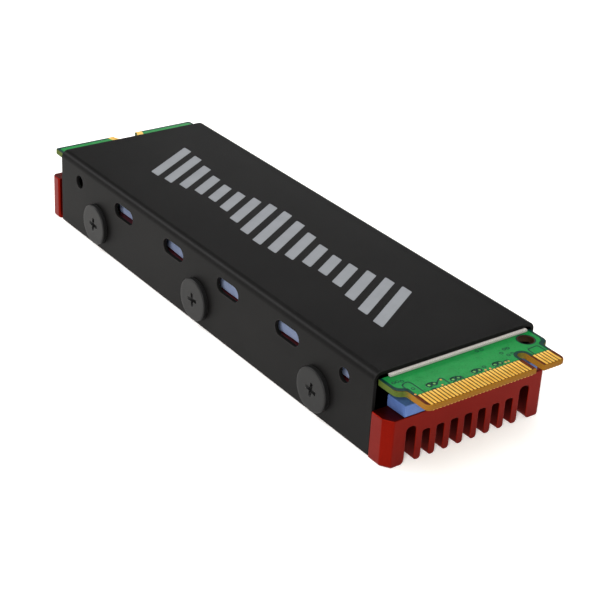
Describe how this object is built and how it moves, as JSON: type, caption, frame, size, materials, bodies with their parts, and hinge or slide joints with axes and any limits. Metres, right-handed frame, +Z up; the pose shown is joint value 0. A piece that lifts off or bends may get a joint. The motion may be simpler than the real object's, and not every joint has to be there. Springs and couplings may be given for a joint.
{
  "type": "solid state drive",
  "caption": "M.2 2280 solid state drive with an M key, clamped between a finned heat sink and a folded screw-on cover.",
  "frame": {"origin": "middle of the object's length and width, at the height of the fins' lower ends", "axes": "+X along the board towards its edge contacts, +Z up from the fins to the cover, +Y towards the side that the key notch is on"},
  "size_m": [0.08, 0.0246, 0.0107],
  "materials": {
    "heat_sink": "red anodised",
    "cover": "black anodised, fine satin",
    "circuit_board": "green solder mask over glass laminate",
    "lower_pad": "soft matt silicone",
    "upper_pad": "soft matt silicone",
    "chip_moulding": "matt epoxy moulding",
    "ferrite": "matt ferrite",
    "crystal_can": "plated",
    "ceramic": "fired ceramic",
    "resistor_film": "glazed",
    "screw": "black oxide"
  },
  "bodies": {
    "drive": {"heat_sink": "heat_sink", "cover": "cover", "circuit_board": "circuit_board", "lower_thermal_pad": "lower_pad", "upper_thermal_pad": "upper_pad", "controller_chip": "chip_moulding", "dram_chip": "chip_moulding", "nand_flash_1": "chip_moulding", "nand_flash_2": "chip_moulding", "power_management_chip": "chip_moulding", "inductor_1": "ferrite", "inductor_2": "ferrite", "crystal": "crystal_can", "capacitor_1": "ceramic", "capacitor_2": "ceramic", "capacitor_3": "ceramic", "capacitor_4": "ceramic", "capacitor_5": "ceramic", "capacitor_6": "ceramic", "capacitor_7": "ceramic", "capacitor_8": "ceramic", "resistor_1": "resistor_film", "resistor_2": "resistor_film", "resistor_3": "resistor_film", "resistor_4": "resistor_film"},
    "screw_left_1": {"screw_left_1": "screw"},
    "screw_left_2": {"screw_left_2": "screw"},
    "screw_left_3": {"screw_left_3": "screw"},
    "screw_right_1": {"screw_right_1": "screw"},
    "screw_right_2": {"screw_right_2": "screw"},
    "screw_right_3": {"screw_right_3": "screw"}
  },
  "joints": [
    {"name": "screw_left_1_out", "type": "slide", "parent": "drive", "child": "screw_left_1", "axis": [0, -1, 0], "range_m": [0, 0.0021]},
    {"name": "screw_left_2_out", "type": "slide", "parent": "drive", "child": "screw_left_2", "axis": [0, -1, 0], "range_m": [0, 0.0021]},
    {"name": "screw_left_3_out", "type": "slide", "parent": "drive", "child": "screw_left_3", "axis": [0, -1, 0], "range_m": [0, 0.0021]},
    {"name": "screw_right_1_out", "type": "slide", "parent": "drive", "child": "screw_right_1", "axis": [0, 1, 0], "range_m": [0, 0.0021]},
    {"name": "screw_right_2_out", "type": "slide", "parent": "drive", "child": "screw_right_2", "axis": [0, 1, 0], "range_m": [0, 0.0021]},
    {"name": "screw_right_3_out", "type": "slide", "parent": "drive", "child": "screw_right_3", "axis": [0, 1, 0], "range_m": [0, 0.0021]}
  ]
}
